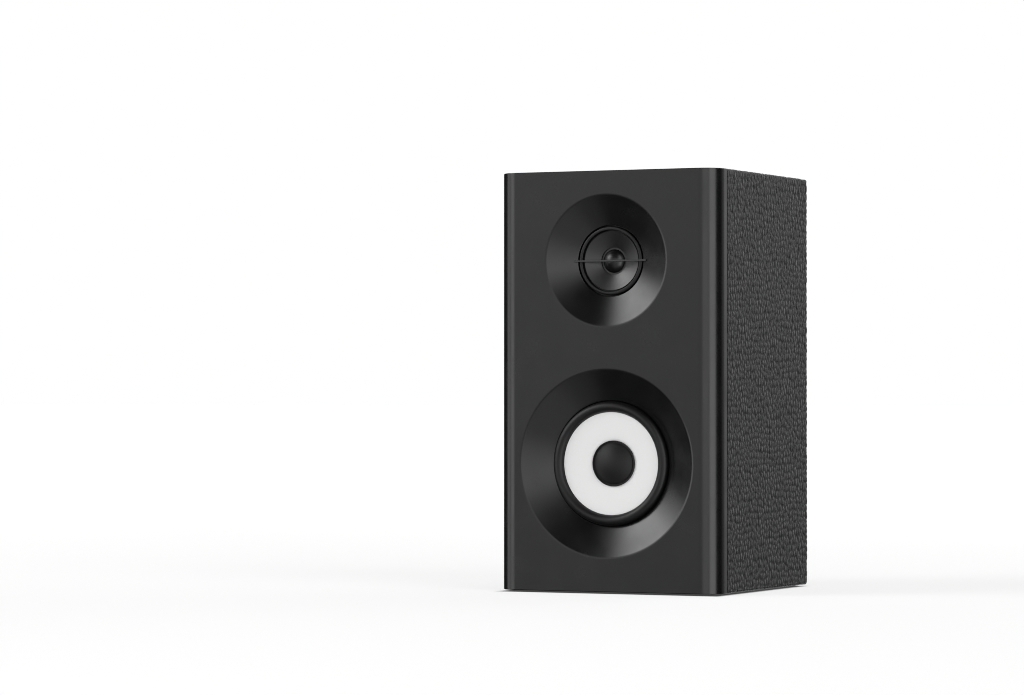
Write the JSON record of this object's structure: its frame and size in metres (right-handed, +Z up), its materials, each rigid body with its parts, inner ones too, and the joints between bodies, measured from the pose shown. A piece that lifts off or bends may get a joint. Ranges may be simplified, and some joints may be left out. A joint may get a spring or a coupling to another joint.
{
  "type": "bookshelf speaker",
  "caption": "Two-way bookshelf speaker: vinyl-wrapped wooden box, moulded black front with cone-shaped recesses, white woofer cone, small domed tweeter, rear port and terminals.",
  "frame": {"origin": "on the surface it stands on, under the middle of the overall box", "axes": "+Z up along the height, -Y out of the front, +X to the right of a viewer who faces the front"},
  "size_m": [0.14, 0.143, 0.246],
  "materials": {
    "vinyl": "coarse leather grain",
    "baffle": "satin",
    "board": "raw fibreboard",
    "black_board": "black-stained fibreboard",
    "white_cone": "matt",
    "black_paper": "satin",
    "gloss_black": "gloss",
    "rubber": "satin",
    "foam": "matt foam",
    "steel_frame": "black paint",
    "zinc": "zinc plate",
    "ferrite": "raw ferrite",
    "coil": "enamelled copper",
    "spider_cloth": "resin-dipped weave",
    "black_plastic": "moulded",
    "red_plastic": "moulded",
    "gilt": "plated",
    "screw": "black oxide",
    "circuit_board": "phenolic",
    "capacitor": "shrink sleeve",
    "ceramic": "raw ceramic",
    "wadding": "polyester wadding",
    "lead": "insulated wire"
  },
  "bodies": {
    "cabinet": {"front_baffle": "baffle", "side_panel_left": "board", "side_panel_right": "board", "top_panel": "board", "bottom_panel": "board", "back_panel": "black_board", "vinyl_wrap": "vinyl", "foot_pad_1": "foam", "foot_pad_2": "foam", "foot_pad_3": "foam", "foot_pad_4": "foam", "port_tube": "black_plastic", "terminal_cup": "black_plastic", "cup_screw_1": "screw", "cup_screw_2": "screw", "cup_screw_3": "screw", "cup_screw_4": "screw", "post_red_collar": "red_plastic", "post_red_stud": "gilt", "post_red_nut": "zinc", "post_black_collar": "black_plastic", "post_black_stud": "gilt", "post_black_nut": "zinc", "crossover_board": "circuit_board", "crossover_capacitor": "capacitor", "crossover_inductor": "coil", "crossover_resistor": "ceramic", "woofer_lead": "lead", "tweeter_lead": "lead", "wadding_pad": "wadding", "woofer_frame": "steel_frame", "woofer_gasket": "foam", "woofer_surround": "rubber", "woofer_spider": "spider_cloth", "woofer_top_plate": "zinc", "woofer_magnet": "ferrite", "woofer_yoke": "zinc", "woofer_tag_strip": "circuit_board", "woofer_screw_1": "screw", "woofer_screw_2": "screw", "woofer_screw_3": "screw", "woofer_screw_4": "screw", "tweeter_frame": "black_plastic", "tweeter_ring": "rubber", "tweeter_bar": "baffle", "tweeter_top_plate": "zinc", "tweeter_magnet": "ferrite", "tweeter_yoke": "zinc", "tweeter_screw_1": "screw", "tweeter_screw_2": "screw"},
    "woofer_moving": {"woofer_cone": "white_cone", "woofer_dust_cap": "black_paper", "woofer_voice_coil": "coil"},
    "tweeter_moving": {"tweeter_cone": "black_paper", "tweeter_dome": "gloss_black", "tweeter_voice_coil": "coil"},
    "red_washer": {"post_red_washer": "gilt"},
    "red_knob": {"post_red_knob": "red_plastic"},
    "black_washer": {"post_black_washer": "gilt"},
    "black_knob": {"post_black_knob": "black_plastic"}
  },
  "joints": [
    {"name": "woofer_excursion", "type": "slide", "parent": "cabinet", "child": "woofer_moving", "axis": [0, -1, 0], "range_m": [-0.003, 0.003], "stiffness_N_per_m": 1000, "deforming": ["woofer_surround", "woofer_spider"]},
    {"name": "tweeter_excursion", "type": "slide", "parent": "cabinet", "child": "tweeter_moving", "axis": [0, -1, 0], "range_m": [-0.00025, 0.00025], "stiffness_N_per_m": 500, "deforming": ["tweeter_ring"]},
    {"name": "red_washer_slide", "type": "slide", "parent": "cabinet", "child": "red_washer", "axis": [0, 1, 0], "range_m": [0, 0.00385]},
    {"name": "red_knob_turn", "type": "hinge", "parent": "red_washer", "child": "red_knob", "pos_m": [0.00953, 0.0555, 0.063], "axis": [0, 1, 0], "range_deg": [0, 1980]},
    {"name": "black_washer_slide", "type": "slide", "parent": "cabinet", "child": "black_washer", "axis": [0, 1, 0], "range_m": [0, 0.00385]},
    {"name": "black_knob_turn", "type": "hinge", "parent": "black_washer", "child": "black_knob", "pos_m": [-0.00953, 0.0555, 0.063], "axis": [0, 1, 0], "range_deg": [0, 1980]}
  ],
  "couplings": [
    {"joint": "red_knob_turn", "follows": "red_washer_slide", "rad_per_m": 8976},
    {"joint": "black_knob_turn", "follows": "black_washer_slide", "rad_per_m": 8976}
  ]
}
